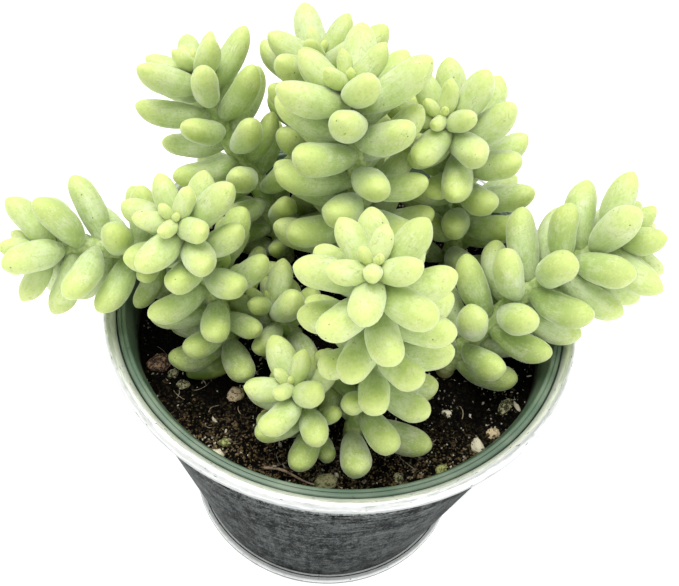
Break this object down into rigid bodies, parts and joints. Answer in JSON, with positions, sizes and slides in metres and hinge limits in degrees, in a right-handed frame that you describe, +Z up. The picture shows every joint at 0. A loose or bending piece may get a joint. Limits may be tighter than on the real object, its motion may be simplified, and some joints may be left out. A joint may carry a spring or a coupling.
{
  "type": "potted burro's tail plant",
  "caption": "Burro's tail succulent: plump-leaved trailing stems in a green nursery pot set in a small galvanised metal pot.",
  "frame": {"origin": "middle of the metal pot's flat bottom", "axes": "+Z up through the middle of the pot, +X towards the trailing stem on the right, -Y towards the front rosette"},
  "size_m": [0.1543, 0.1198, 0.1522],
  "materials": {
    "galvanised_steel": "mottled zinc, satin rolled rim",
    "green_plastic": "satin moulded plastic",
    "peat": "rough dark soil with grit",
    "leaf_green": "matte leaf with a powdery bloom"
  },
  "bodies": {
    "root": {"metal_pot": "galvanised_steel", "nursery_pot": "green_plastic", "soil": "peat", "stem_far_left": "leaf_green", "stem_left": "leaf_green", "stem_upper_left": "leaf_green", "stem_centre": "leaf_green", "stem_back": "leaf_green", "stem_upper_right": "leaf_green", "stem_front": "leaf_green", "stem_short": "leaf_green", "stem_right": "leaf_green", "stem_filler": "leaf_green"}
  },
  "joints": []
}
